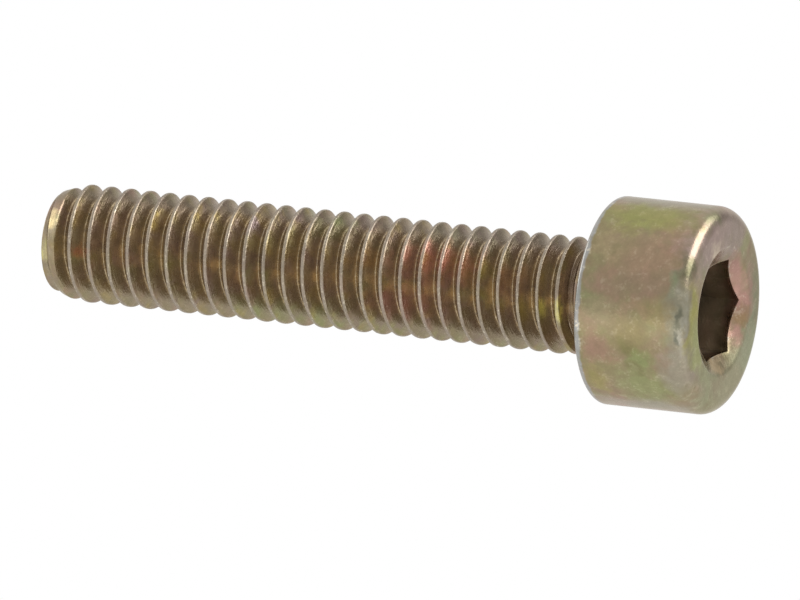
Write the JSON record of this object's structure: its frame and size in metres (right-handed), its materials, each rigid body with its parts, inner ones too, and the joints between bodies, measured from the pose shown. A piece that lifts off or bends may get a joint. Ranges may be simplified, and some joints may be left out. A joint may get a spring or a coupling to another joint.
{
  "type": "socket head cap screw",
  "caption": "Fully threaded cap screw with a smooth cylindrical head, a hexagon socket and a tapered tip.",
  "frame": {"origin": "centre of the bearing face under the head", "axes": "+Z along the shank from the head to the tip; the screw stands on the outer face of its head"},
  "size_m": [0.0068, 0.0068, 0.0238],
  "materials": {
    "yellow_zinc_steel": "yellow chromated zinc plating, satin, with faint pink and green bloom"
  },
  "bodies": {
    "root": {"cap_screw": "yellow_zinc_steel"}
  },
  "joints": []
}
